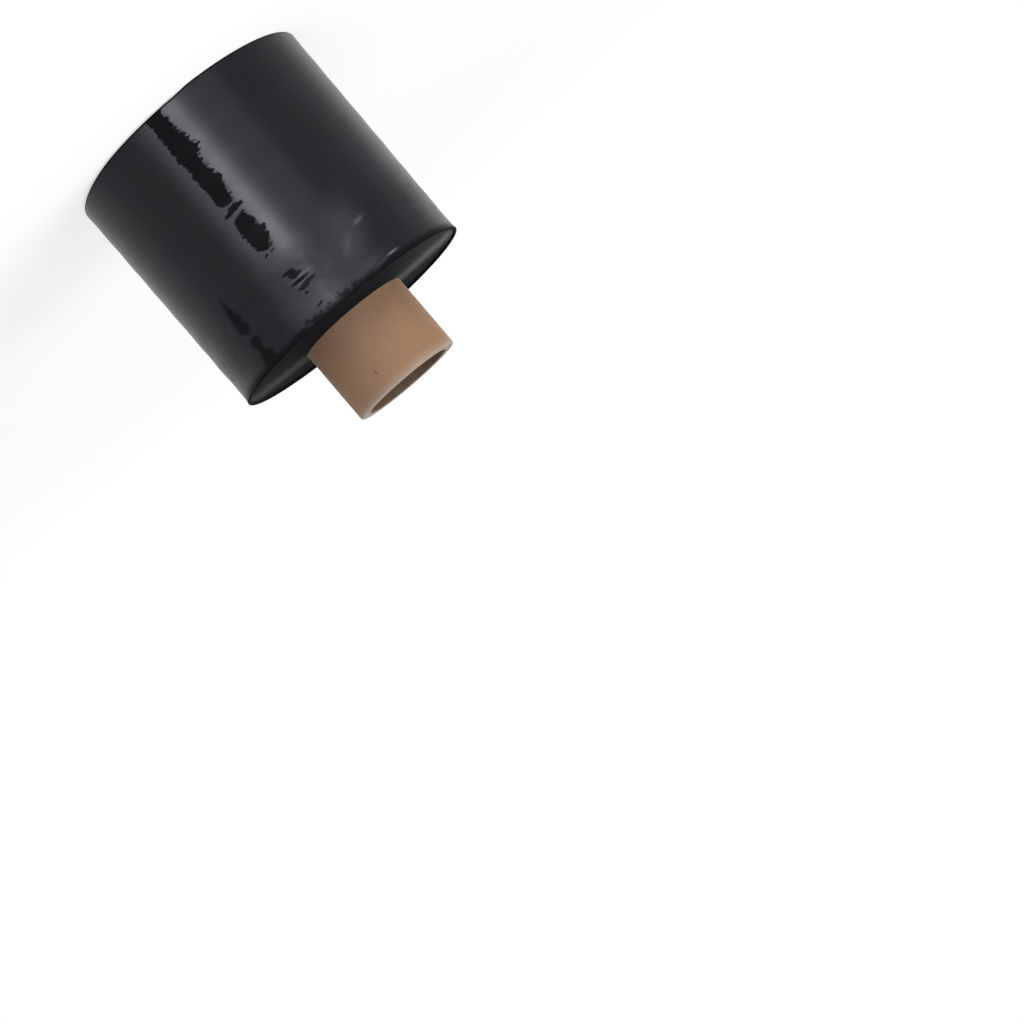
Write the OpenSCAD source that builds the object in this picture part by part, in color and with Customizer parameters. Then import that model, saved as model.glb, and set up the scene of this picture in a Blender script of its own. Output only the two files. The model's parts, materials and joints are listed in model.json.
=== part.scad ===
// A roll of stretch film wound on a cardboard core, standing on its flat end.
// The origin is the centre of the flat end, and +Z runs along the roll towards the open end,
// where the core stands out of the film.

/* [Film] */
// Width of the wound film, along the roll
film_w = 100; // [60:1:200]
// Outside diameter of the winding at the flat end
film_d = 107.5; // [80:0.5:160]
// How much slimmer the winding is at the open end, across its diameter
film_taper = 1.5; // [0:0.1:4]
// Round of the outer edge at the flat end
flat_edge_r = 1; // [0.3:0.1:2]

/* [Lip at the open end] */
// Width of the lip that the outermost turns make
lip_w = 1.3; // [1.1:0.1:3]
// How far the turns sink from the core out to the lip, which stands up past them
lip_high = 0.9; // [0.6:0.1:2]
// How far the lip flares out from the winding
lip_flare = 0.35; // [0:0.05:1]
// Length of the flare, along the roll
lip_flare_len = 3; // [1:0.5:8]
// Round of the lip's edges
lip_edge_r = 0.45; // [0.2:0.05:0.5]

/* [Turns on the end faces] */
// Width of one band of turns
turn_pitch = 2.3; // [1.8:0.1:5]
// Width of the groove between two bands
turn_groove_w = 0.7; // [0.3:0.05:1.2]
// Depth of the groove between two bands
turn_groove_deep = 0.35; // [0.1:0.05:0.8]
// Most that a band of turns stands back at the open end
turn_stagger = 0.5; // [0:0.05:1.2]

/* [Bands round the outside] */
// Length of one band along the roll, from crest to crest
gauge_pitch = 14; // [8:1:30]
// Height of a crest above the hollows beside it
gauge_deep = 0.12; // [0:0.02:0.4]

/* [Core] */
// Bore of the core
core_bore_d = 38; // [25:0.5:60]
// Thickness of the core's wall
core_wall = 4.5; // [2:0.25:8]
// How far the core stands out of the film at the open end
core_reach = 33; // [5:1:60]
// Round of the core's outer edge at both cut ends
core_edge_r = 0.8; // [0.2:0.1:1]
// Round of the core's bore edge at both cut ends
core_lip_r = 0.5; // [0.2:0.1:0.8]
// Gap between the core and the first turn of film
wind_gap = 0.05; // [0.02:0.01:0.2]

/* [Hidden] */

// Chords in an edge round, in the lip's flare, and from crest to crest of a band
round_steps = 4;
flare_steps = 4;
gauge_steps = 4;
// Turn of the sine that staggers one band against the next
stagger_turn = 137.5;

core_bore_r = core_bore_d / 2;
core_r = core_bore_r + core_wall;
core_len = film_w + core_reach;
film_bore_r = core_r + wind_gap;
film_flat_r = film_d / 2;
film_open_r = film_flat_r - film_taper / 2;

// The flat end's face runs out to its edge's round, and the open end's face to the lip
flat_face_end = film_flat_r - flat_edge_r;
lip_r = film_open_r + lip_flare;
open_face_end = lip_r - lip_w;
// The outside runs from the flat end's round to the start of the flare
side_low = flat_edge_r;
side_high = film_w - lip_edge_r - lip_flare_len;
gauge_count = max(2, round((side_high - side_low) / gauge_pitch));

// A quarter round as points, about its centre, from one angle to another
function quarter(centre, across, along, from, to) = [
    for (i = [0 : round_steps])
        let (turn = from + (to - from) * i / round_steps)
        [centre[0] + across * cos(turn), centre[1] + along * sin(turn)]
];

// How many bands of turns a face of this depth holds
function band_count(face_end) = max(3, round((face_end - film_bore_r) / turn_pitch));

// Share of the stagger that one band of turns takes, which is nothing at the two outer bands
function stagger(band, bands) =
    band == 0 || band == bands - 1 ? 0 : 0.5 + 0.5 * sin(stagger_turn * band);

// How far one band of turns lies back from the end's plane, with the most that the bands
// stagger and how far they sink from the core outwards
function back(band, bands, most, sink) = most * stagger(band, bands) + sink * band / (bands - 1);

// Points of one end face, from the core outwards: each band of turns has a flat top,
// and a groove with sloping sides lies between it and the next band
function turns(face_end, plane_z, inwards, most, sink) = let (
    bands = band_count(face_end),
    pitch = (face_end - film_bore_r) / bands
) [
    for (band = [0 : bands - 1])
        let (
            start = film_bore_r + band * pitch,
            end = start + pitch,
            here = back(band, bands, most, sink),
            next = back(min(band + 1, bands - 1), bands, most, sink),
            top = plane_z + inwards * here,
            floor_z = plane_z + inwards * (max(here, next) + turn_groove_deep)
        )
        each band == bands - 1
            ? [[start + turn_groove_w / 2, top]]
            : [
                [band == 0 ? start : start + turn_groove_w / 2, top],
                [end - turn_groove_w / 2, top],
                [end, floor_z]
            ]
];

// Points of the outside, from the flat end up: a slim taper with low crests along it
function side() = [
    for (i = [0 : gauge_count * gauge_steps])
        let (
            share = i / (gauge_count * gauge_steps),
            crest = (1 - cos(360 * share * gauge_count)) / 2,
            z = side_low + (side_high - side_low) * share
        )
        [film_flat_r - (film_flat_r - film_open_r) * share - gauge_deep * crest, z]
];

// Points of the flare, from the outside up to the lip: it opens out more and more
function flare() = [
    for (i = [1 : flare_steps])
        let (share = i / flare_steps)
        [film_open_r + lip_flare * share * share, side_high + lip_flare_len * share]
];

// Points in reverse order
function backwards(points) = [for (i = [len(points) - 1 : -1 : 0]) points[i]];

module wound_film() {
    flat_round = quarter([flat_face_end, flat_edge_r], flat_edge_r, flat_edge_r, -90, 0);
    lip_z = film_w - lip_edge_r;
    lip_outer = quarter([lip_r - lip_edge_r, lip_z], lip_edge_r, lip_edge_r, 0, 90);
    lip_inner = quarter([open_face_end + lip_edge_r, lip_z], lip_edge_r, lip_edge_r, 90, 180);
    outline = concat(
        turns(flat_face_end, 0, 1, 0, 0),
        flat_round,
        side(),
        flare(),
        lip_outer,
        lip_inner,
        [[open_face_end, film_w - lip_high]],
        backwards(turns(open_face_end, film_w, -1, turn_stagger, lip_high))
    );
    color([0.17, 0.165, 0.185])
        rotate_extrude($fn = 56)
            polygon(outline);
}

module core() {
    outline = concat(
        quarter([core_bore_r + core_lip_r, core_lip_r], core_lip_r, core_lip_r, 180, 270),
        quarter([core_r - core_edge_r, core_edge_r], core_edge_r, core_edge_r, -90, 0),
        quarter([core_r - core_edge_r, core_len - core_edge_r], core_edge_r, core_edge_r, 0, 90),
        quarter([core_bore_r + core_lip_r, core_len - core_lip_r], core_lip_r, core_lip_r, 90, 180)
    );
    color([0.6, 0.47, 0.37])
        rotate_extrude($fn = 56)
            polygon(outline);
}

wound_film();
core();
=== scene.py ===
"""A roll of black stretch film on a cardboard core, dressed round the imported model."""

import json
import math
from collections import namedtuple

import bmesh
import bpy
from mathutils import Matrix, Vector, noise


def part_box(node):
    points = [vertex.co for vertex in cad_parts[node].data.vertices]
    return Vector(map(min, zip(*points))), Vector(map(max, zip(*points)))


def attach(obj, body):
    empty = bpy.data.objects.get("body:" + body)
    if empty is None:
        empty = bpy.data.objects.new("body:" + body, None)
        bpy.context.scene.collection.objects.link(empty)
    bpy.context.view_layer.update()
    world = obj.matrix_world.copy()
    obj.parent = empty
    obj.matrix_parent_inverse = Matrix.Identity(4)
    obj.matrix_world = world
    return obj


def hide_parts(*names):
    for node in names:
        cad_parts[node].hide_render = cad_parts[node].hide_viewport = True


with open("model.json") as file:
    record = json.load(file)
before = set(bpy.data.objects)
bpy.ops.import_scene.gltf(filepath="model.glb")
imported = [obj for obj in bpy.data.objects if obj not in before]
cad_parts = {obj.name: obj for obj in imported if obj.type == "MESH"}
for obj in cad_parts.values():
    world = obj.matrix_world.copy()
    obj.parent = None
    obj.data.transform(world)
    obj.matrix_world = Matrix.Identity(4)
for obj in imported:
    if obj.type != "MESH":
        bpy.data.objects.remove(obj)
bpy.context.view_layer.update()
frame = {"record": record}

MM = 0.001
# A full turn in radians and in degrees
TURN = 2 * math.pi
TURN_DEGREES = 360.0
# What turns metres into millimetres, and radians into degrees
IN_MM = 1 / MM
IN_DEGREES = TURN_DEGREES / TURN
# Angles round the roll are counted from the front towards +X, and start at this one, in degrees
FIRST_ANGLE = -90.0
# The middle of a noise that runs from 0 to 1
MIDDLE = 0.5

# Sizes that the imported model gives
film_low, film_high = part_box("wound_film")
core_low, core_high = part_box("core")
FILM_R = (film_high[0] - film_low[0]) / 2
FILM_TOP = film_high[2]
CORE_R = (core_high[0] - core_low[0]) / 2
CORE_TOP = core_high[2]
BORE_R = frame["record"]["mounts"][0]["dims"]["r_mm"] * MM

# Sizes of the winding
WIND_GAP = 0.05 * MM
TAPER = 0.75 * MM
FLAT_EDGE = 1.0 * MM
LIP_WIDTH = 1.3 * MM
LIP_HIGH = 0.9 * MM
LIP_FLARE = 0.35 * MM
LIP_FLARE_LEN = 3.0 * MM
LIP_EDGE = 0.45 * MM
# The lip's uneven height, and the rings from its foot over which that fades in
LIP_WORN = 0.12 * MM
LIP_WORN_RINGS = 2
BAND_PITCH = 14 * MM
BAND_DEEP = 0.12 * MM
OPEN_TURN_PITCH = 0.8 * MM
FLAT_TURN_PITCH = 1.6 * MM
TURN_GROOVE = 0.22 * MM
TURN_STAGGER = 0.55 * MM
TURN_WAVE = 0.1 * MM
# Width of the smooth turns at a face's inner and outer edge
FACE_FADE = 0.6 * MM
# The free edge of the film: its step, its angle, how far it wanders and how wide it is, both in turns
TAIL_STEP = 0.09 * MM
TAIL_ANGLE = math.radians(205)
TAIL_WANDER = 0.02
TAIL_WIDTH = 0.004
# How far the outer turns stand short of the flat end: the angle in degrees where each rise or fall
# begins and ends, and its height in millimetres
SHORT_TURNS = ((-11.0, -2.0, 0.5), (34.0, 84.0, 1.0), (120.0, 250.0, -1.5))
SHORT_WIDTH = 9 * MM
# The outer turns are loose above these heights, and their waves fade out at the flat end
LOOSE_SIDE = (66 * MM, 84 * MM)
SIDE_FADE = 6 * MM
# Depths of the waves in millimetres, where the turns are loose, where they are tight, and anywhere
LOOSE_BROAD = 0.11
LOOSE_FINE = 0.035
TIGHT_BROAD = 0.012
LONG_DEEP = 0.05

# Sizes of the core
CORE_EDGE = 0.8 * MM
CORE_LIP = 0.5 * MM
PLIES = 8
PLY_GROOVE = 0.1 * MM
PLY_WORN = 0.1 * MM
# Share of the cut end's width over which its wear fades out
PLY_FADE = 0.15
WALL_UNEVEN = 0.04 * MM
WALL_FADE = 2 * MM

# Noise round the roll: cells a turn, cells a metre along it, and a seed
BROAD_WAVES = (26, 95, 3.1)
FINE_WAVES = (60, 210, 7.7)
LONG_WAVES = (9, 22, 11.3)
TAIL_WAVES = (1, 60, 19.0)
FACE_WAVES = (7, 60, 2.2)
LIP_WAVES = (11, 1, 6.6)
PLY_WAVES = (40, 3, 4.4)
WALL_WAVES = (14, 60, 9.1)
# How far a seed moves the noise along the roll, in cells
SEED_STEP = 0.37
# Noise from turn to turn: cells a turn and the place of its line in the noise, and the share of the
# stagger that the quick one adds
SLOW_STAGGER = (0.55, 0.3, 5.0)
QUICK_STAGGER = (1.9, 8.3, 1.0)
QUICK_SHARE = 0.3

# Fineness of the meshes
FILM_COLUMNS = 360
CORE_COLUMNS = 256
# A turn's rings as shares of its width: its groove, and both sides of its flat top
RINGS_A_TURN = 3
TURN_SHAPE = (0.0, 0.24, 0.76)
RINGS_A_PLY = 3
WALL_RINGS = 34
LIP_STEPS = 5
EDGE_STEPS = 6
# The side's rings lie closer together above a height
FINE_RING = 0.7 * MM
WIDE_RING = 1.9 * MM
FINE_ABOVE = 64 * MM
# Points that lie closer than this become one, in metres
WELD = 2e-6


def smooth(low, high, value):
    """0 below low, 1 above high, and a smooth step between."""
    share = min(1.0, max(0.0, (value - low) / (high - low)))
    return share * share * (3 - 2 * share)


def round_noise(angle, height, around, along, seed):
    """Noise from -1 to 1 on a cylinder: around and along are its cells a turn and a metre."""
    ring = around / TURN
    return noise.noise(Vector((
        ring * math.cos(angle) + seed,
        ring * math.sin(angle) - seed,
        height * along + SEED_STEP * seed,
    )))


def turn_noise(wound, cells, *place):
    """Noise from -1 to 1 along the wound turns."""
    return noise.noise(Vector((wound * cells, *place)))


def as_share(value):
    """Noise from -1 to 1 as a share from 0 to 1."""
    return 0.5 + 0.5 * value


# Meshes of revolution

def face_of(corners, faces, slots, slot):
    """Adds a face without repeated corners."""
    kept = []
    for corner in corners:
        if corner not in kept:
            kept.append(corner)
    if len(kept) > 2:
        faces.append(kept)
        slots.append(slot)


def lathe(name, sections, columns, materials):
    """A closed mesh round the Z axis.

    Each section is (rings, points, shift, slot): points(ring, angle) gives (radius, height), and a
    spiral section moves on by shift rings in a turn. The last section joins the first.
    """
    verts = []
    starts = []
    faces = []
    slots = []
    for rings, points, _, _ in sections:
        starts.append(len(verts))
        for ring in range(rings):
            for column in range(columns):
                angle = TURN * column / columns
                radius, height = points(ring, angle)
                verts.append((radius * math.sin(angle), -radius * math.cos(angle), height))
    for (rings, _, shift, slot), start in zip(sections, starts):
        for column in range(columns):
            seam = column == columns - 1
            moved = shift if seam else 0
            right = 0 if seam else column + 1
            for ring in range(-abs(moved), rings - 1 + abs(moved)):
                here = [min(max(ring + step, 0), rings - 1) for step in (0, 1)]
                there = [min(max(ring + step + moved, 0), rings - 1) for step in (0, 1)]
                corners = [
                    start + here[0] * columns + column,
                    start + there[0] * columns + right,
                    start + there[1] * columns + right,
                    start + here[1] * columns + column,
                ]
                face_of(corners, faces, slots, slot)
    for index, (rings, _, _, slot) in enumerate(sections):
        last = starts[index] + (rings - 1) * columns
        first = starts[(index + 1) % len(sections)]
        for column in range(columns):
            right = (column + 1) % columns
            face_of([last + column, last + right, first + right, first + column], faces, slots, slot)
    mesh = bpy.data.meshes.new(name)
    mesh.from_pydata(verts, [], faces)
    for material in materials:
        mesh.materials.append(material)
    mesh.polygons.foreach_set("material_index", slots)
    mesh.polygons.foreach_set("use_smooth", [True] * len(faces))
    shape = bmesh.new()
    shape.from_mesh(mesh)
    bmesh.ops.remove_doubles(shape, verts=shape.verts, dist=WELD)
    bmesh.ops.recalc_face_normals(shape, faces=shape.faces)
    shape.to_mesh(mesh)
    shape.free()
    piece = bpy.data.objects.new(name, mesh)
    bpy.context.collection.objects.link(piece)
    return piece


def quarter(centre, size, start, end, steps):
    """Points of a quarter round from one angle to another, in degrees."""
    made = []
    for step in range(steps + 1):
        turn = math.radians(start + (end - start) * step / steps)
        made.append((centre[0] + size * math.cos(turn), centre[1] + size * math.sin(turn)))
    return made


# The wound film

FILM_IN = CORE_R + WIND_GAP
OPEN_R = FILM_R - TAPER
LIP_R = OPEN_R + LIP_FLARE
OPEN_FACE_R = LIP_R - LIP_WIDTH
FLAT_FACE_R = FILM_R - FLAT_EDGE
SIDE_LOW = FLAT_EDGE
LIP_Z = FILM_TOP - LIP_EDGE
SIDE_HIGH = LIP_Z - LIP_FLARE_LEN
BANDS = round((SIDE_HIGH - SIDE_LOW) / BAND_PITCH)


def slack(angle, height):
    """How far the waves of the outer turns lie off a true cylinder."""
    loose = smooth(*LOOSE_SIDE, height)
    broad = round_noise(angle, height, *BROAD_WAVES)
    fine = round_noise(angle, height, *FINE_WAVES)
    deep = loose * (LOOSE_BROAD * broad + LOOSE_FINE * fine) + (1 - loose) * TIGHT_BROAD * broad
    return MM * (deep + LONG_DEEP * round_noise(angle, height, *LONG_WAVES))


def tail(angle, height):
    """The outer turn grows a little each way round, and steps down at the film's free edge."""
    wander = TAIL_WANDER * round_noise(0.0, height, *TAIL_WAVES)
    past = ((angle - TAIL_ANGLE - wander) / TURN) % 1.0
    return TAIL_STEP * (past - smooth(1 - TAIL_WIDTH, 1.0, past))


def short(angle, height):
    """How far the side's low end stands up from the flat end, fading out along the side."""
    turned = (math.degrees(angle) - FIRST_ANGLE) % TURN_DEGREES + FIRST_ANGLE
    rise = sum(high * smooth(start, end, turned) for start, end, high in SHORT_TURNS)
    return MM * rise * (1 - smooth(0, SHORT_WIDTH, height))


def side_point(height, angle):
    """The outside: a slim taper with low crests, then the flare up to the lip."""
    share = min(1.0, max(0.0, (height - SIDE_LOW) / (SIDE_HIGH - SIDE_LOW)))
    crest = (1 - math.cos(TURN * share * BANDS)) / 2
    fade = smooth(0, SIDE_FADE, height)
    flare = max(0.0, (height - SIDE_HIGH) / LIP_FLARE_LEN)
    radius = FILM_R - TAPER * share - BAND_DEEP * crest + LIP_FLARE * flare * flare
    return radius + fade * (slack(angle, height) - tail(angle, height))


def side_heights():
    """Heights of the side's rings, closer together towards the loose open end."""
    heights = []
    height = LIP_Z
    while height > SIDE_LOW:
        heights.append(height)
        height -= FINE_RING if height > FINE_ABOVE else WIDE_RING
    heights.append(SIDE_LOW)
    return heights


def turn_face(outer, pitch, plane, inwards, stagger, sink):
    """Rings of an end face: the web's edge winds out in a spiral with a groove between turns.

    The turns sink from the core outwards, and stand back by up to stagger.
    """
    turns = math.ceil((outer - FILM_IN) / pitch) + 1
    rings = turns * RINGS_A_TURN + 1

    def point(ring, angle):
        turn, place = divmod(ring, RINGS_A_TURN)
        wound = turn + angle / TURN
        radius = FILM_IN + pitch * (wound + TURN_SHAPE[place] - 1)
        radius = min(outer, max(FILM_IN, radius))
        fade = smooth(0, FACE_FADE, radius - FILM_IN) * smooth(0, FACE_FADE, outer - radius)
        groove = TURN_GROOVE if place == 0 else 0.0
        back = stagger * as_share(turn_noise(wound, *SLOW_STAGGER))
        back += QUICK_SHARE * stagger * (1 + turn_noise(wound, *QUICK_STAGGER))
        wave = TURN_WAVE * round_noise(angle, radius, *FACE_WAVES) if stagger else 0.0
        sunk = sink * (radius - FILM_IN) / (outer - FILM_IN)
        return radius, plane + inwards * (sunk + fade * max(0.0, groove + back + wave))

    return rings, point


def make_film(side, ends):
    open_rings, open_point = turn_face(OPEN_FACE_R, OPEN_TURN_PITCH, FILM_TOP, -1, TURN_STAGGER, LIP_HIGH)
    flat_rings, flat_point = turn_face(FLAT_FACE_R, FLAT_TURN_PITCH, 0.0, 1, 0.0, 0.0)
    lip_foot = [(OPEN_FACE_R, FILM_TOP - LIP_HIGH)]
    lip_inner = quarter((OPEN_FACE_R + LIP_EDGE, LIP_Z), LIP_EDGE, 180, 90, LIP_STEPS)
    lip_outer = quarter((LIP_R - LIP_EDGE, LIP_Z), LIP_EDGE, 90, 0, LIP_STEPS)[:-1]
    lip = lip_foot + lip_inner + lip_outer
    flat_round = quarter((FLAT_FACE_R, FLAT_EDGE), FLAT_EDGE, 0, -90, EDGE_STEPS)[1:-1]
    heights = side_heights()

    def lip_point(ring, angle):
        """The lip stands a little higher in some places than in others, and follows the side."""
        radius, height = lip[ring]
        worn = LIP_WORN * as_share(round_noise(angle, 0.0, *LIP_WAVES)) * smooth(0, LIP_WORN_RINGS, ring)
        share = (radius - OPEN_FACE_R) / LIP_WIDTH
        return radius + share * (side_point(LIP_Z, angle) - LIP_R), height - worn

    def side_ring(ring, angle):
        return side_point(heights[ring], angle), heights[ring] + short(angle, heights[ring] - SIDE_LOW)

    def flat_edge(ring, angle):
        radius, height = flat_round[ring]
        return radius, height + short(angle, 0.0)

    def flat_inwards(ring, angle):
        radius, height = flat_point(flat_rings - 1 - ring, angle)
        return radius, height + short(angle, FLAT_FACE_R - radius)

    sections = [
        (open_rings, open_point, RINGS_A_TURN, 1),
        (len(lip), lip_point, 0, 1),
        (len(heights), side_ring, 0, 0),
        (len(flat_round), flat_edge, 0, 0),
        (flat_rings, flat_inwards, -RINGS_A_TURN, 1),
    ]
    return lathe("stretch_film", sections, FILM_COLUMNS, [side, ends])


# The cardboard core

LIP_IN = BORE_R + CORE_LIP
EDGE_IN = CORE_R - CORE_EDGE


def cut_end(plane, inwards):
    """Rings of a cut end from the bore outwards, with a groove between each two plies."""
    steps = PLIES * RINGS_A_PLY

    def point(ring, angle):
        share = ring / steps
        groove = PLY_GROOVE if ring % RINGS_A_PLY == 0 and 0 < ring < steps else 0.0
        worn = PLY_WORN * as_share(round_noise(angle, share, *PLY_WAVES))
        fade = smooth(0, PLY_FADE, share) * smooth(0, PLY_FADE, 1 - share)
        return LIP_IN + (EDGE_IN - LIP_IN) * share, plane + inwards * fade * (groove + worn)

    return steps + 1, point


def tube_wall(radius, low, high):
    """Rings of a wall of the tube, slightly uneven away from its ends."""

    def point(ring, angle):
        height = low + (high - low) * ring / (WALL_RINGS - 1)
        uneven = WALL_UNEVEN * round_noise(angle, height, *WALL_WAVES)
        fade = smooth(0, WALL_FADE, height) * smooth(0, WALL_FADE, CORE_TOP - height)
        return radius + fade * uneven, height

    return WALL_RINGS, point


def tube_edge(centre, size, start, end, steps):
    """Rings of a rounded edge of the tube, without its first and last one."""
    points = quarter(centre, size, start, end, steps)[1:-1]
    return len(points), lambda ring, angle: points[ring]


def make_core(board, cut):
    low_rings, low_point = cut_end(0.0, 1)
    sections = [
        (*cut_end(CORE_TOP, -1), 0, 1),
        (*tube_edge((EDGE_IN, CORE_TOP - CORE_EDGE), CORE_EDGE, 90, 0, EDGE_STEPS), 0, 1),
        (*tube_wall(CORE_R, CORE_TOP - CORE_EDGE, CORE_EDGE), 0, 0),
        (*tube_edge((EDGE_IN, CORE_EDGE), CORE_EDGE, 0, -90, EDGE_STEPS), 0, 1),
        (low_rings, lambda ring, angle: low_point(low_rings - 1 - ring, angle), 0, 1),
        (*tube_edge((LIP_IN, CORE_LIP), CORE_LIP, 270, 180, LIP_STEPS), 0, 1),
        (*tube_wall(BORE_R, CORE_LIP, CORE_TOP - CORE_LIP), 0, 0),
        (*tube_edge((LIP_IN, CORE_TOP - CORE_LIP), CORE_LIP, 180, 90, LIP_STEPS), 0, 1),
    ]
    return lathe("cardboard_core", sections, CORE_COLUMNS, [board, cut])


# Materials

# A noise pattern: its cells in each unit of the three places that it is given, how many finer layers
# it has, how strong they are, and how far it is warped
Pattern = namedtuple("Pattern", "cells layers strength warp", defaults=(0.5, 0.0))


class Value:
    """A socket of a surface's nodes. Arithmetic on it adds the Math nodes."""

    def __init__(self, surface, socket):
        self.surface = surface
        self.socket = socket

    def math(self, operation, *others):
        sockets = {0: self, **dict(enumerate(others, 1))}
        return self.surface.node("ShaderNodeMath", {"operation": operation}, sockets)

    def __add__(self, other):
        return self.math("ADD", other)

    def __sub__(self, other):
        return self.math("SUBTRACT", other)

    def __neg__(self):
        return self.math("MULTIPLY", -1.0)

    def __rsub__(self, other):
        return self.math("MULTIPLY", -1.0).math("ADD", other)

    def __mul__(self, other):
        return self.math("MULTIPLY", other)

    def __abs__(self):
        return self.math("ABSOLUTE")

    __radd__ = __add__
    __rmul__ = __mul__

    def at_least(self, other):
        return self.math("MAXIMUM", other)

    def at_most(self, other):
        return self.math("MINIMUM", other)

    def step(self, low, high):
        """0 where the value is below low, 1 where it is above high, smooth between."""
        settings = {"interpolation_type": "SMOOTHSTEP"}
        return self.surface.node("ShaderNodeMapRange", settings, {0: self, 1: low, 2: high})


class Surface:
    """The nodes of a material, or of the world."""

    def __init__(self, owner):
        self.owner = owner
        owner.use_nodes = True
        self.tree = owner.node_tree
        self.tree.nodes.clear()

    def node(self, kind, settings=None, sockets=None, output=0):
        """Adds a node: its settings first, then its sockets' values or links, by number or name."""
        made = self.tree.nodes.new(kind)
        for key, value in (settings or {}).items():
            if key == "stops":
                ramp = made.color_ramp.elements
                made.color_ramp.interpolation = "EASE"
                for index, (place, colour) in enumerate(value):
                    stop = ramp[index] if index < len(ramp) else ramp.new(place)
                    stop.position = place
                    stop.color = rgba(colour)
            else:
                setattr(made, key, value)
        for key, value in (sockets or {}).items():
            if isinstance(value, Value):
                self.tree.links.new(value.socket, made.inputs[key])
            else:
                made.inputs[key].default_value = value
        return Value(self, made.outputs[output]) if made.outputs else None

    def blend(self, share, low, high):
        """A colour between two colours."""
        settings = {"data_type": "RGBA", "clamp_factor": True}
        sockets = {0: share, 6: rgba(low), 7: rgba(high)}
        return self.node("ShaderNodeMix", settings, sockets, 2)

    def mix(self, share, first, second):
        """A shader between two shaders."""
        return self.node("ShaderNodeMixShader", sockets={0: share, 1: first, 2: second})

    def place(self):
        """The place on the roll: x, y and z in metres."""
        spot = self.node("ShaderNodeTexCoord", output="Object")
        return [self.node("ShaderNodeSeparateXYZ", sockets={0: spot}, output=axis) for axis in range(3)]

    def noise(self, pattern, *places):
        """Noise from 0 to 1 over three places."""
        across = dict(enumerate(place * cells for place, cells in zip(places, pattern.cells)))
        sockets = {
            "Vector": self.node("ShaderNodeCombineXYZ", sockets=across),
            "Scale": 1.0,
            "Detail": pattern.layers,
            "Roughness": pattern.strength,
            "Distortion": pattern.warp,
        }
        return self.node("ShaderNodeTexNoise", {"noise_dimensions": "3D"}, sockets)

    def bump(self, height, distance, strength=1.0):
        sockets = {"Height": height, "Distance": distance, "Strength": strength}
        return self.node("ShaderNodeBump", sockets=sockets)

    def finish(self, shader, kind="ShaderNodeOutputMaterial"):
        """Links the last shader to the output, and returns what the nodes belong to."""
        self.node(kind, sockets={"Surface": shader})
        return self.owner


def rgba(colour):
    return colour if isinstance(colour, Value) else (*colour, 1.0)


def root_of_squares(first, second):
    return (first * first + second * second).math("SQRT")


def angle_of(x, y):
    """The angle from the front towards +X, in degrees from FIRST_ANGLE on."""
    turned = x.math("ARCTAN2", -y) * IN_DEGREES
    return turned + turned.math("LESS_THAN", FIRST_ANGLE) * TURN_DEGREES


# Places where the outer turn clings so tight that no air is left under it, which turns the film
# deep black. Each has a seed, how soft its edges are in degrees, how deep its black is, and where it
# lies: height in millimetres, and the angles from the front where it begins and ends, in degrees.
TIGHT_PLACES = (
    (1.0, 0.45, 1.0, (
        (0.0, 4.8, 12.4), (7.5, 5.8, 12.4), (16.5, 3.3, 12.6), (20.5, 1.9, 12.9), (23.5, 4.9, 12.1),
        (34.0, 4.4, 12.5), (42.3, 5.0, 12.0), (44.0, 6.0, 11.0), (44.8, 8.5, 8.5), (45.2, 7.0, 7.0),
        (46.0, 4.5, 10.8), (47.7, 4.1, 13.3), (48.4, 12.2, 12.2), (49.0, 6.0, 6.0), (51.0, 5.4, 11.5),
        (55.0, 5.5, 12.4), (58.0, 3.2, 12.5), (64.0, 5.4, 12.0), (66.2, 6.0, 10.2), (67.0, 8.0, 8.0),
    )),
    (2.0, 2.6, 0.85, (
        (64.0, 39.6, 39.6), (71.0, 38.8, 41.4), (77.0, 37.4, 42.8), (82.0, 37.0, 43.2), (85.3, 39.6, 40.0),
        (88.0, 36.4, 43.2), (91.5, 38.4, 41.6), (95.0, 35.8, 43.4), (99.5, 34.6, 43.6),
    )),
    (3.0, 0.9, 0.85, (
        (17.0, 128.0, 128.0), (21.0, 124.0, 131.0), (38.0, 122.5, 133.0), (55.0, 125.0, 131.0),
        (59.0, 128.0, 128.0), (63.0, 130.0, 130.0), (66.0, 128.0, 133.5), (78.0, 129.0, 134.0),
        (81.0, 132.0, 132.0),
    )),
    (4.0, 0.7, 0.95, (
        (0.0, 216.0, 222.5), (12.0, 214.5, 223.0), (24.0, 216.0, 221.0), (27.0, 219.0, 219.0),
        (31.0, 220.0, 220.0), (35.0, 216.5, 225.0), (54.0, 215.5, 226.0), (68.0, 218.0, 224.5),
        (72.0, 221.0, 221.0),
    )),
)
# A ramp holds a tight place's outline: the length of roll and the degrees that it spans, and how many
# of these lie before the place's first edge
RAMP_LENGTH = 100.0
RAMP_SPAN = 50.0
RAMP_MARGIN = 10.0
# Noise that eats into the outlines, over height in millimetres, angle in degrees and a seed
NIBBLES = Pattern((1.3, 1.7, 1.0), 3.0, 0.6)
TEETH = Pattern((1.25, 0.13, 1.0), 2.0, 0.75)
SWELLS = Pattern((0.35, 0.1, 1.0), 2.0)
NIBBLES_SEED = 5.0
SWELLS_SEED = 9.0
# How far nibbles move an outline along the roll in millimetres, and round a spot as a share
NIBBLES_ALONG = 2.6
NIBBLES_ROUND = 0.9
# How far teeth reach in at a place's first and last edge, how far these edges first lie outside the
# outline, and how far both draw in and out, all in degrees
FIRST_TEETH = 2.2
LAST_TEETH = 0.9
FIRST_OUT = 1.2
LAST_OUT = 0.8
EDGE_SWELLS = 2.2
# The ranges of noise over which teeth grow
FIRST_BITE = (0.4, 0.6)
LAST_BITE = (0.4, 0.62)
SWELL_BITE = (0.25, 0.55)
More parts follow.
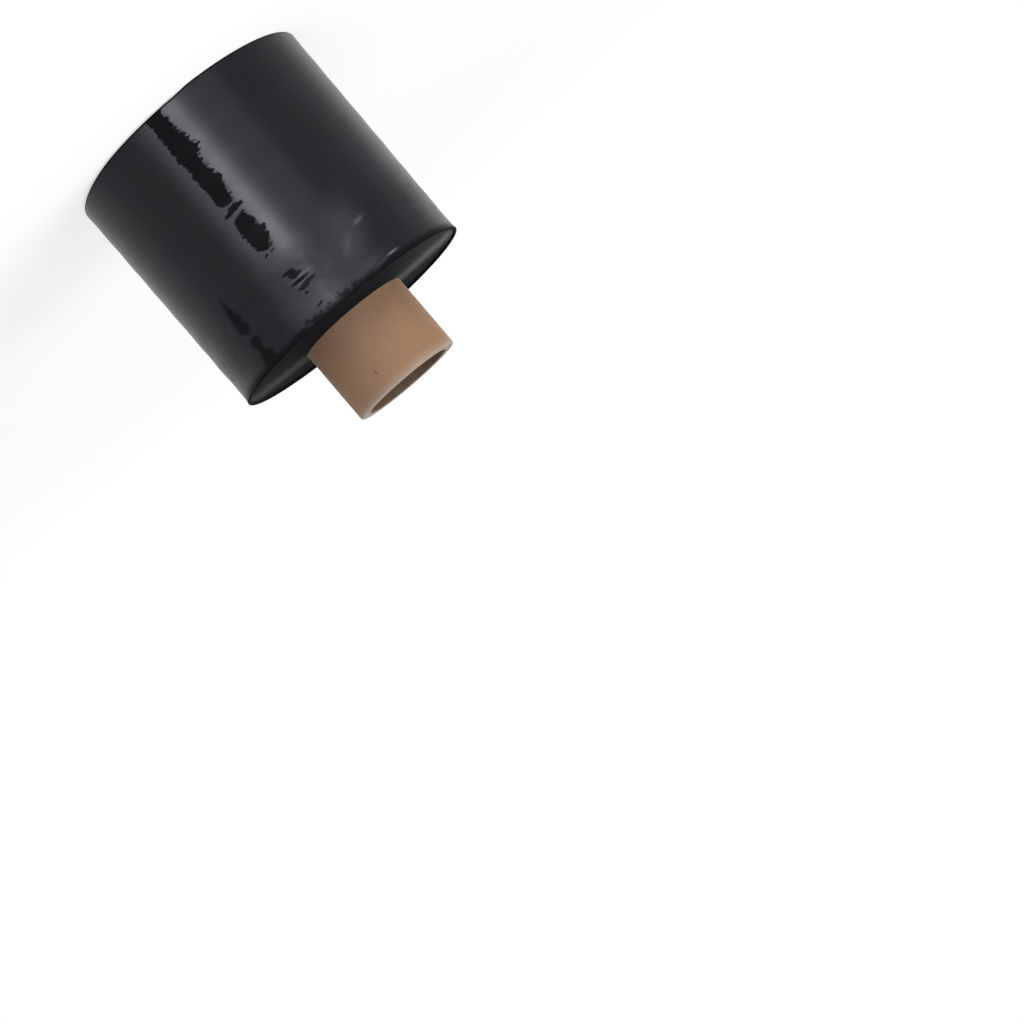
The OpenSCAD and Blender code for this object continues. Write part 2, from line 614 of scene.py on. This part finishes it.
# Where a place is this wide, in degrees, its edges are as uneven as they get, and less so the softer
# they are. It is black in full from this share of that width on.
FULL_WIDTH = 4.0
LEAST_WIDTH = 0.3

# Small tight spots: height in millimetres, angle in degrees, half length and half width in
# millimetres, slant in degrees from the roll's axis
TIGHT_SPOTS = (
    (79.6, 7.4, 2.5, 2.7, 70.0),
    (78.0, 9.6, 1.8, 0.7, 80.0),
    (80.6, 5.0, 1.8, 0.6, 84.0),
    (83.1, 6.6, 5.0, 0.95, 92.0),
    (85.3, 4.4, 4.4, 1.1, 86.0),
    (86.0, 7.2, 3.2, 1.0, 96.0),
    (88.3, 7.8, 0.9, 0.8, 90.0),
    (67.9, 7.0, 1.6, 0.4, 88.0),
    (68.2, 10.6, 1.3, 0.6, 75.0),
    (94.6, 6.5, 1.9, 0.5, 80.0),
    (73.6, 222.0, 1.2, 0.7, 90.0),
    (90.0, 207.0, 4.2, 0.8, 88.0),
)
# The range over which a spot's edge turns black, and how deep its black is
SPOT_EDGE = (0.42, 0.62)
SPOT_DEPTH = 0.95

# Creases in the loose turns near the open end: height in millimetres, angle in degrees, half length
# and half width in millimetres, slant in degrees, height of the fold in millimetres, and the strength of
# a painted highlight, a pale colour put where light catches the folds; entries without a fold are
# painted highlight alone, on hazy patches
CREASES = (
    (79.2, -28.0, 2.4, 0.9, 78.0, 0.18, 0.34),
    (84.3, -17.5, 4.4, 1.5, 47.0, 0.17, 0.12),
    (79.0, -22.0, 12.0, 7.0, 25.0, 0.0, 0.13),
    (88.0, -13.0, 12.0, 7.0, 62.0, 0.0, 0.02),
    (95.2, -20.0, 8.0, 2.2, 84.0, 0.0, 0.09),
    (89.0, 16.5, 9.0, 6.0, 0.0, 0.0, 0.05),
    (81.9, 4.6, 3.6, 0.35, 91.0, 0.08, 0.42),
    (84.1, 5.2, 4.0, 0.30, 91.0, 0.0, 0.22),
    (96.4, -30.6, 2.4, 0.35, 88.0, 0.12, 1.0),
    (97.8, -22.0, 4.0, 0.60, 80.0, 0.06, 0.22),
    (74.0, 100.0, 6.0, 1.4, 40.0, 0.35, 0.20),
    (88.0, 152.0, 5.0, 0.6, 82.0, 0.15, 0.45),
    (81.0, 186.0, 7.0, 1.6, 60.0, 0.40, 0.25),
    (91.0, 248.0, 4.5, 0.7, 74.0, 0.18, 0.50),
    (77.0, 281.0, 6.0, 1.5, 48.0, 0.35, 0.22),
)
# Millimetres round the open end in a degree
ARC_A_DEGREE = (OPEN_R / MM) * TURN / TURN_DEGREES


def patch(angle, height, place):
    """1 at a place's centre, falling off along and across it. The place is as in TIGHT_SPOTS."""
    z, centre, long, wide, slant = place
    lean = math.radians(slant)
    along_z = height - z
    around = (angle - centre) * ARC_A_DEGREE
    along = (along_z * math.cos(lean) + around * math.sin(lean)) * (1 / long)
    across = (around * math.cos(lean) - along_z * math.sin(lean)) * (1 / wide)
    return (-(along * along + across * across)).math("EXPONENT")


def tight_place(surface, angle, height, nibbles, place):
    """1 inside one of the tight places, as deep as it says."""
    seed, soft, depth, outline = place
    base = outline[0][1] - RAMP_MARGIN
    stops = [(z / RAMP_LENGTH, ((start - base) / RAMP_SPAN, (end - base) / RAMP_SPAN, 0.0))
             for z, start, end in outline]
    along = (height + (nibbles - MIDDLE) * NIBBLES_ALONG) * (1 / RAMP_LENGTH)
    edges = surface.node("ShaderNodeValToRGB", {"stops": stops}, {0: along})
    start, end = [surface.node("ShaderNodeSeparateColor", sockets={0: edges}, output=side) * RAMP_SPAN
                  for side in range(2)]
    wide = ((end - start) * (1 / FULL_WIDTH)).at_most(1.0) * min(1.0, 1.0 / soft)
    teeth = surface.noise(TEETH, height, angle, seed)
    swells = surface.noise(SWELLS, height, angle, seed + SWELLS_SEED)
    swollen = (swells - MIDDLE) * EDGE_SWELLS
    sharp = teeth.step(*FIRST_BITE) * swells.step(*SWELL_BITE)
    begin = start + (sharp * FIRST_TEETH - FIRST_OUT + swollen) * wide
    finish = end - (teeth.step(*LAST_BITE) * LAST_TEETH - LAST_OUT + swollen) * wide
    inside = (angle - base - begin).at_most(finish - (angle - base)) + soft / 2
    return inside.step(0.0, soft) * wide.step(0.0, LEAST_WIDTH) * depth


def tight_mask(surface, angle, height):
    """1 where the outer turn clings without air. angle is in degrees and height in millimetres."""
    nibbles = surface.noise(NIBBLES, height, angle, NIBBLES_SEED)
    masks = [tight_place(surface, angle, height, nibbles, place) for place in TIGHT_PLACES]
    for place in TIGHT_SPOTS:
        spot = patch(angle, height, place) + (nibbles - MIDDLE) * NIBBLES_ROUND
        masks.append(spot.step(*SPOT_EDGE) * SPOT_DEPTH)
    mask = masks[0]
    for other in masks[1:]:
        mask = mask.at_least(other)
    return mask


def creases(angle, height):
    """The folds' height in millimetres, and the painted highlight on and around them."""
    fold, pale = 0.0, 0.0
    for *place, high, painted_highlight in CREASES:
        shape = patch(angle, height, place)
        fold = fold + shape * high
        pale = pale + shape * painted_highlight
    return fold, pale


# Noise of the film's outside, over x, y and z in metres
GAUGE_LINES = Pattern((25.0, 25.0, 5200.0), 3.0, 0.55)
CLOUDS = Pattern((60.0, 60.0, 60.0), 3.0, 0.6)
RIPPLES = Pattern((170.0, 170.0, 230.0), 2.0, 0.5, 0.6)
DRAWN_BANDS = Pattern((40.0, 40.0, 900.0), 2.0)
MOTTLE = Pattern((420.0, 420.0, 520.0), 3.0, 0.6)
# Heights in millimetres between which the turns get loose, and hold tighter again by some share
LOOSE_RISE = (65.0, 80.0)
LOOSE_FALL = (86.0, 95.0)
LOOSE_LOSS = 0.35
# Angles in degrees round which the outer turns are most crumpled at the open end, how far that
# reaches, and how crumpled they are elsewhere
CRUMPLED = (7.0, 118.0, 228.0)
CRUMPLED_REACH = (7.0, 24.0)
CRUMPLED_LEAST = 0.12
# The dark band where the side rolls over to the lip, painted shade that gives it the tight film's
# unreflecting black: its ragged edge, its heights in millimetres, its depth, and the black rims at the
# lip and at the flat end, painted shade along the film's edges
ROLL_RAGGED = 9.0
ROLL_MIDDLE = 0.46
ROLL_HEIGHTS = (96.2, 98.7)
ROLL_SHADE_DEPTH = 0.85
LIP_RIM = (98.4, 99.2)
FLAT_RIM = (0.6, 1.1)
# Heights of the relief in millimetres: fine lines and drawn bands, the lines' share, and ripples
LINES_HIGH = 0.012
LINES_SHARE = 0.5
RIPPLES_HIGH = 0.12
# Colours: the film between clouds of air under it, on them, and the pale grey of the painted highlight on
# creases
CLOUD_EDGE = (0.4, 0.6)
FILM_DARK = (0.002, 0.002, 0.0038)
FILM_VIOLET = (0.0024, 0.0021, 0.0064)
FILM_PAINTED_HIGHLIGHT = (0.16, 0.16, 0.17)
# Roughness: the film's own, and what loose turns, crumpled turns, ripples and clouds add
FILM_ROUGH = 0.432
LOOSE_ROUGH = 0.04
CRUMPLED_ROUGH = 0.16
RIPPLES_ROUGH = 0.25
CLOUDS_ROUGH = 0.06


def make_film_side():
    surface = Surface(bpy.data.materials.new("stretch_film_side"))
    x, y, z = surface.place()
    angle = angle_of(x, y)
    height = z * IN_MM
    lines = surface.noise(GAUGE_LINES, x, y, z)
    clouds = surface.noise(CLOUDS, x, y, z)
    ripples = surface.noise(RIPPLES, x, y, z)
    drawn = surface.noise(DRAWN_BANDS, x, y, z)
    mottle = surface.noise(MOTTLE, x, y, z)
    # pale is the painted highlight on and around the creases
    fold, pale = creases(angle, height)
    loose = height.step(*LOOSE_RISE) - height.step(*LOOSE_FALL) * LOOSE_LOSS
    crumpled = CRUMPLED_LEAST
    for centre in CRUMPLED:
        crumpled = crumpled + 1 - abs(angle - centre).step(*CRUMPLED_REACH)
    # Painted shade: the band where the side rolls over to the lip, and the rims at both ends, take the
    # tight film's unreflecting black
    ragged = height + (mottle - ROLL_MIDDLE) * crumpled * ROLL_RAGGED
    rolled = ragged.step(*ROLL_HEIGHTS) * ROLL_SHADE_DEPTH
    low_end = height
    for start, end, high in SHORT_TURNS:
        low_end = low_end - angle.step(start, end) * high
    rim_shade = (1 - low_end.step(*FLAT_RIM)).at_least(height.step(*LIP_RIM))
    mask = tight_mask(surface, angle, height).at_least(rolled).at_least(rim_shade)
    relief = (lines * LINES_SHARE + drawn) * LINES_HIGH + fold + ripples * loose * RIPPLES_HIGH
    uneven = LOOSE_ROUGH + crumpled * CRUMPLED_ROUGH + (ripples - MIDDLE) * RIPPLES_ROUGH
    violet = surface.blend(clouds.step(*CLOUD_EDGE), FILM_DARK, FILM_VIOLET)
    airy = surface.node("ShaderNodeBsdfPrincipled", sockets={
        # Painted highlight: the creases lighten the film's colour towards pale grey
        "Base Color": surface.blend(pale, violet, FILM_PAINTED_HIGHLIGHT),
        "Roughness": FILM_ROUGH + loose * uneven + (clouds - MIDDLE) * CLOUDS_ROUGH,
        "Specular IOR Level": 0.245,
        "Specular Tint": (0.94, 0.93, 1.0, 1.0),
        "Anisotropic": 0.875,
        "Anisotropic Rotation": 0.25,
        "Normal": surface.bump(relief, MM),
    })
    # The tight film's black, also put on the rolled band and the rims as painted shade
    tight = surface.node("ShaderNodeBsdfPrincipled", sockets={
        "Base Color": (0.0062, 0.0067, 0.0082, 1.0),
        "Roughness": 0.3,
        "Specular IOR Level": 0.012,
    })
    return surface.finish(surface.mix(mask, airy, tight))


# Noise of the film's end faces, over the wound turns and the place
FACE_LINES = Pattern((7.0, 1.0, 1.0), 4.0, 0.7)
FACE_BROAD = Pattern((0.9, 30.0, 30.0), 2.0)
# The band that is worn glossy: the y of its middle, how far it wanders, its half width, all in
# millimetres, its share of gloss and how much of that it loses away from the middle
WORN_MIDDLE = 7.5
WORN_WANDER = 12.0
WORN_HALF = 16.5
WORN_MOST = 0.6
WORN_LOSS = 0.51
# It is strongest far out, towards -X, and ends at the lip: ranges in millimetres, and shares
WORN_RADII = (24.0, 50.0)
WORN_OUT = 0.3
WORN_SIDE = (-8.0, 24.0)
WORN_SIDE_LOSS = 0.6
WORN_END = (OPEN_FACE_R / MM - 0.4, OPEN_FACE_R / MM - 0.05)
# The relief of the lines and the strength of its bump
FACE_RELIEF = 0.06 * MM
FACE_BUMP = 0.7
FACE_DARK = (0.0035, 0.0034, 0.004)
FACE_LIGHT = (0.009, 0.0088, 0.0105)
# Roughness of the dull and the glossy face, and what the lines add to each
DULL_ROUGH = (0.6, 0.25)
GLOSSY_ROUGH = (0.38, 0.2)


def make_film_ends():
    surface = Surface(bpy.data.materials.new("stretch_film_ends"))
    x, y, _ = surface.place()
    radius = root_of_squares(x, y) * IN_MM
    wound = radius - x.math("ARCTAN2", -y) * (1 / TURN) * (OPEN_TURN_PITCH / MM)
    lines = surface.noise(FACE_LINES, wound, 0.0, 0.0)
    broad = surface.noise(FACE_BROAD, wound, x, y)
    across = abs(y * IN_MM + (broad - MIDDLE) * WORN_WANDER - WORN_MIDDLE)
    worn = WORN_MOST - across.step(0.0, WORN_HALF) * WORN_LOSS
    worn = worn * (radius.step(*WORN_RADII) * WORN_OUT + (1 - WORN_OUT))
    worn = worn * (1 - (x * IN_MM).step(*WORN_SIDE) * WORN_SIDE_LOSS)
    worn = worn * (1 - radius.step(*WORN_END))
    normal = surface.bump(lines, FACE_RELIEF, FACE_BUMP)
    dull = surface.node("ShaderNodeBsdfPrincipled", sockets={
        "Base Color": surface.blend(broad, FACE_DARK, FACE_LIGHT),
        "Roughness": DULL_ROUGH[0] + lines * DULL_ROUGH[1],
        "Specular IOR Level": 0.012,
        "Normal": normal,
    })
    glossy = surface.node("ShaderNodeBsdfPrincipled", sockets={
        "Base Color": (0.005, 0.005, 0.008, 1.0),
        "Roughness": GLOSSY_ROUGH[0] + lines * GLOSSY_ROUGH[1],
        "Specular IOR Level": 0.42,
        "Specular Tint": (0.94, 0.92, 1.0, 1.0),
        "Anisotropic": 0.5,
        "Anisotropic Rotation": 0.25,
        "Normal": normal,
    })
    return surface.finish(surface.mix(worn, dull, glossy))


# Noise of the board, over x, y and z in metres
FIBRES = Pattern((900.0, 900.0, 500.0), 4.0, 0.65)
BOARD_MOTTLE = Pattern((110.0, 110.0, 90.0), 3.0, 0.55)
FLECKS = Pattern((700.0, 700.0, 700.0), 2.0)
BURRS = Pattern((800.0, 800.0, 280.0), 3.0, 0.7)
GRAIN = Pattern((2500.0, 2500.0, 2500.0), 2.0)
FUZZ = Pattern((1600.0, 1600.0, 1600.0), 4.0, 0.7)
# The flecks are moved by nine cells along X, in metres
FLECKS_SHIFT = 9 / FLECKS.cells[0]
# Noise of the cut end, over the radius in millimetres and the place in metres
PLY_LINES = Pattern((3.2, 60.0, 60.0), 3.0, 0.6)
# Colours of the board, the range of noise where each shows, and its share over those before it
KRAFT_DARK = (0.252, 0.137, 0.071)
KRAFT_LIGHT = (0.302, 0.171, 0.093)
FIBRE_PALE = (0.37, 0.222, 0.132)
FIBRE_EDGE = (0.35, 0.75)
FIBRE_SHARE = 0.3
FLECK_DARK = (0.18, 0.095, 0.05)
FLECK_EDGE = (0.68, 0.76)
FLECK_SHARE = 0.35
WORN_GREY = (0.37, 0.303, 0.253)


def kraft(surface, x, y, z, pale):
    """The base colour and the height of kraft board. pale is the share of worn, greyer board."""
    fibres = surface.noise(FIBRES, x, y, z)
    mottle = surface.noise(BOARD_MOTTLE, x, y, z)
    flecks = surface.noise(FLECKS, x + FLECKS_SHIFT, y, z)
    brown = surface.blend(mottle, KRAFT_DARK, KRAFT_LIGHT)
    brown = surface.blend(fibres.step(*FIBRE_EDGE) * FIBRE_SHARE, brown, FIBRE_PALE)
    brown = surface.blend(flecks.step(*FLECK_EDGE) * FLECK_SHARE, brown, FLECK_DARK)
    return surface.blend(pale, brown, WORN_GREY), fibres


# The worn end of the tube, the painted shade next to the film, and the bore, darkened as painted
# shade and mottled with burrs: their places in millimetres, colours and shares
END_WORN = 4.2
END_SHARE = 0.5
SHADE_HEIGHTS = (98.0, 120.0)
SHADE_DARK = (0.13, 0.07, 0.04)
SHADE_SHARE = 0.42
BORE_EDGE = (BORE_R / MM + 0.3, BORE_R / MM + 0.6)
BORE_SHADE_DARK = (0.056, 0.028, 0.01)
BORE_SHADE_LIGHT = (0.09, 0.049, 0.022)
BURRS_EDGE = (0.36, 0.68)
BORE_SHADE_SHARE = 0.9
# The spiral seam of the outer ply: how far it climbs in a turn and where it starts, its width, all in
# millimetres, its shade, and how deep it lies against the fibres
SEAM_LEAD = 96.0
SEAM_SHIFT = 40.0
SEAM_PLACE = 18.0
SEAM_WIDTH = (0.12, 0.4)
SEAM_DARK = (0.13, 0.08, 0.048)
SEAM_SHARE = 0.55
SEAM_DEEP = 1.5
# A dark red speck: its angle in degrees and height in millimetres, its size, ragged edge and shade
SPECK = (18.0, 124.5)
SPECK_SIZE = (0.2, 1.1)
SPECK_RAGGED = 0.9
SPECK_RED = (0.13, 0.05, 0.03)
SPECK_SHARE = 0.75
# The fibres' share of the relief, the relief, the strength of its bump, and the roughness
FIBRES_HIGH = 0.6
BOARD_RELIEF = 0.05 * MM
BOARD_BUMP = 0.6
BOARD_ROUGH = 0.82
FIBRES_ROUGH = 0.15


def make_board():
    surface = Surface(bpy.data.materials.new("kraft_board"))
    x, y, z = surface.place()
    angle = angle_of(x, y)
    height = z * IN_MM
    radius = root_of_squares(x, y) * IN_MM
    end_wear = (height - (CORE_TOP / MM - END_WORN)).step(0.0, END_WORN)
    brown, fibres = kraft(surface, x, y, z, end_wear * END_SHARE)
    # Painted shade: the tube darkens towards the film
    brown = surface.blend((1 - height.step(*SHADE_HEIGHTS)) * SHADE_SHARE, brown, SHADE_DARK)
    # Painted shade: the bore's walls take a far darker brown, mottled with burrs
    burrs = surface.noise(BURRS, x, y, z)
    shaded_bore_brown = surface.blend(burrs.step(*BURRS_EDGE), BORE_SHADE_DARK, BORE_SHADE_LIGHT)
    brown = surface.blend((1 - radius.step(*BORE_EDGE)) * BORE_SHADE_SHARE, brown, shaded_bore_brown)
    climbed = (angle * (SEAM_LEAD / TURN_DEGREES) + height + SEAM_SHIFT).math("MODULO", SEAM_LEAD)
    seam = 1 - abs(climbed - SEAM_PLACE).step(*SEAM_WIDTH)
    brown = surface.blend(seam * SEAM_SHARE, brown, SEAM_DARK)
    speck_wide = (angle - SPECK[0]) * (CORE_R / MM * TURN / TURN_DEGREES)
    away = root_of_squares(speck_wide, height - SPECK[1])
    grain = surface.noise(GRAIN, x, y, z)
    speck = 1 - (away + (grain - MIDDLE) * SPECK_RAGGED).step(*SPECK_SIZE)
    brown = surface.blend(speck * SPECK_SHARE, brown, SPECK_RED)
    relief = fibres * FIBRES_HIGH - seam * SEAM_DEEP
    shader = surface.node("ShaderNodeBsdfPrincipled", sockets={
        "Base Color": brown,
        "Roughness": BOARD_ROUGH + (fibres - MIDDLE) * FIBRES_ROUGH,
        "Specular IOR Level": 0.22,
        "Sheen Weight": 0.05,
        "Normal": surface.bump(relief, BOARD_RELIEF, BOARD_BUMP),
    })
    return surface.finish(shader)


# The cut end: how grey it is, and what its fuzz adds; the lines of the plies; and its bore's edge,
# darkened as painted shade
CUT_GREY = (0.6, 0.3)
PLY_BROWN = (0.26, 0.186, 0.138)
PLY_EDGE = (0.4, 0.7)
PLY_SHARE = 0.35
CUT_BORE_SHADE = (0.085, 0.045, 0.021)
CUT_BORE_SHADE_SHARE = 0.85
FUZZ_HIGH = 0.6
CUT_RELIEF = 0.12 * MM
CUT_BUMP = 0.7


def make_cut_board():
    surface = Surface(bpy.data.materials.new("cut_board"))
    x, y, z = surface.place()
    radius = root_of_squares(x, y) * IN_MM
    fuzz = surface.noise(FUZZ, x, y, z)
    plies = surface.noise(PLY_LINES, radius, x, y)
    brown, _ = kraft(surface, x, y, z, CUT_GREY[0] + fuzz * CUT_GREY[1])
    brown = surface.blend(plies.step(*PLY_EDGE) * PLY_SHARE, brown, PLY_BROWN)
    # Painted shade: the cut end darkens at the bore's edge
    brown = surface.blend((1 - radius.step(*BORE_EDGE)) * CUT_BORE_SHADE_SHARE, brown, CUT_BORE_SHADE)
    shader = surface.node("ShaderNodeBsdfPrincipled", sockets={
        "Base Color": brown,
        "Roughness": 0.9,
        "Specular IOR Level": 0.2,
        "Sheen Weight": 0.15,
        "Normal": surface.bump(fuzz * FUZZ_HIGH + plies, CUT_RELIEF, CUT_BUMP),
    })
    return surface.finish(shader)


# The stage

WHITE = (1.0, 1.0, 1.0, 1.0)
# The floor is half this size, in metres, and turns plain white between these distances
FLOOR_HALF = 3.0
FLOOR_FADE = (0.25, 0.7)
# The floor that the camera sees adds a glow to a grey that takes the shadow, and both make white
FLOOR_GREY = (0.42, 0.42, 0.42, 1.0)
FLOOR_GLOW = 0.64
FLOOR_PLAIN = (0.8, 0.8, 0.8, 1.0)
# Level of the world's light on the object
AMBIENT = 0.5

# Soft boxes: name, azimuth from the front towards +X and elevation in degrees, distance, width and
# height in metres, watts, and whether they show in gloss, or else on matte surfaces
LAMPS = (
    ("strip_box", 3.2, 6.0, 1.2, (0.25, 1.2), 42.0, True),
    ("shoulder_box", 24.3, 6.0, 1.2, (0.36, 1.2), 14.5, True),
    ("tail_box", -24.0, 6.0, 1.2, (0.8, 1.2), 11.5, True),
    ("edge_box", -148.0, 6.0, 1.2, (0.9, 1.2), 1.2, True),
    ("back_box", 212.0, 6.0, 1.2, (0.3, 1.2), 10.0, True),
    ("side_box", -58.0, 30.0, 1.2, (0.9, 0.9), 8.5, False),
    ("front_box", 12.0, 38.0, 1.4, (0.7, 0.7), 5.0, False),
)
# The place that the soft boxes face, in metres
LAMP_AIM = (0.0, 0.0, 0.06)

# The camera: sensor and lens in millimetres, place in metres, and its turn, rise and roll in degrees
SENSOR = 36.0
LENS = 85.835
CAMERA_PLACE = (0.0, -0.9541, 0.2207)
CAMERA_TURN = 0.132
CAMERA_RISE = -1.345
CAMERA_ROLL = 139.551


def seen(surface):
    """1 for a ray that the camera sees, straight or in gloss or glass."""
    rays = [surface.node("ShaderNodeLightPath", output=name) for name in
            ("Is Camera Ray", "Is Glossy Ray", "Is Transmission Ray")]
    return rays[0].at_least(rays[1]).at_least(rays[2])


def make_floor():
    surface = Surface(bpy.data.materials.new("pale_floor"))
    x, y, _ = surface.place()
    far = root_of_squares(x, y).step(*FLOOR_FADE)
    lit = surface.node("ShaderNodeBsdfDiffuse", sockets={"Color": FLOOR_GREY})
    glow = surface.node("ShaderNodeEmission", sockets={"Color": WHITE, "Strength": FLOOR_GLOW})
    near = surface.node("ShaderNodeAddShader", sockets={0: lit, 1: glow})
    white = surface.node("ShaderNodeEmission", sockets={"Color": WHITE, "Strength": 1.0})
    plain = surface.node("ShaderNodeBsdfDiffuse", sockets={"Color": FLOOR_PLAIN})
    shader = surface.mix(seen(surface), plain, surface.mix(far, near, white))
    mesh = bpy.data.meshes.new("floor")
    half = FLOOR_HALF
    corners = [(-half, -half, 0.0), (half, -half, 0.0), (half, half, 0.0), (-half, half, 0.0)]
    mesh.from_pydata(corners, [], [(0, 1, 2, 3)])
    mesh.materials.append(surface.finish(shader))
    floor = bpy.data.objects.new("floor", mesh)
    bpy.context.collection.objects.link(floor)


def make_world():
    """White behind the object, and a plain level of light on it."""
    world = bpy.data.worlds.new("studio")
    bpy.context.scene.world = world
    surface = Surface(world)
    level = seen(surface) * (1 - AMBIENT) + AMBIENT
    back = surface.node("ShaderNodeBackground", sockets={"Color": WHITE, "Strength": level})
    surface.finish(back, "ShaderNodeOutputWorld")


def make_lamp(name, azimuth, elevation, distance, size, power, gloss):
    """A soft box that faces the roll, which shows either in gloss or on matte surfaces."""
    data = bpy.data.lights.new(name, "AREA")
    data.shape = "RECTANGLE"
    data.size, data.size_y = size
    data.energy = power
    lamp = bpy.data.objects.new(name, data)
    bpy.context.collection.objects.link(lamp)
    turn, rise = math.radians(azimuth), math.radians(elevation)
    back = Vector((math.sin(turn) * math.cos(rise), -math.cos(turn) * math.cos(rise), math.sin(rise)))
    lamp.location = Vector(LAMP_AIM) + back * distance
    lamp.rotation_euler = back.to_track_quat("Z", "Y").to_euler()
    lamp.visible_camera = False
    lamp.visible_diffuse = not gloss
    lamp.visible_glossy = gloss


def make_camera():
    """The photograph's camera: nearly level, and rolled so that the roll of film leans."""
    data = bpy.data.cameras.new("camera")
    data.sensor_width = SENSOR
    data.lens = LENS
    camera = bpy.data.objects.new("camera", data)
    bpy.context.collection.objects.link(camera)
    camera.location = CAMERA_PLACE
    turn, rise = math.radians(CAMERA_TURN), math.radians(CAMERA_RISE)
    ahead = Vector((math.sin(turn) * math.cos(rise), math.cos(turn) * math.cos(rise), math.sin(rise)))
    upright = ahead.to_track_quat("-Z", "Y").to_matrix().to_4x4()
    rolled = upright @ Matrix.Rotation(math.radians(CAMERA_ROLL), 4, "Z")
    camera.rotation_euler = rolled.to_euler()
    bpy.context.scene.camera = camera


make_camera()
make_world()
make_floor()
for lamp in LAMPS:
    make_lamp(*lamp)

film = make_film(make_film_side(), make_film_ends())
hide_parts("wound_film")
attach(film, "root")

core = make_core(make_board(), make_cut_board())
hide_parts("core")
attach(core, "root")

bpy.context.scene.view_settings.view_transform = "Standard"
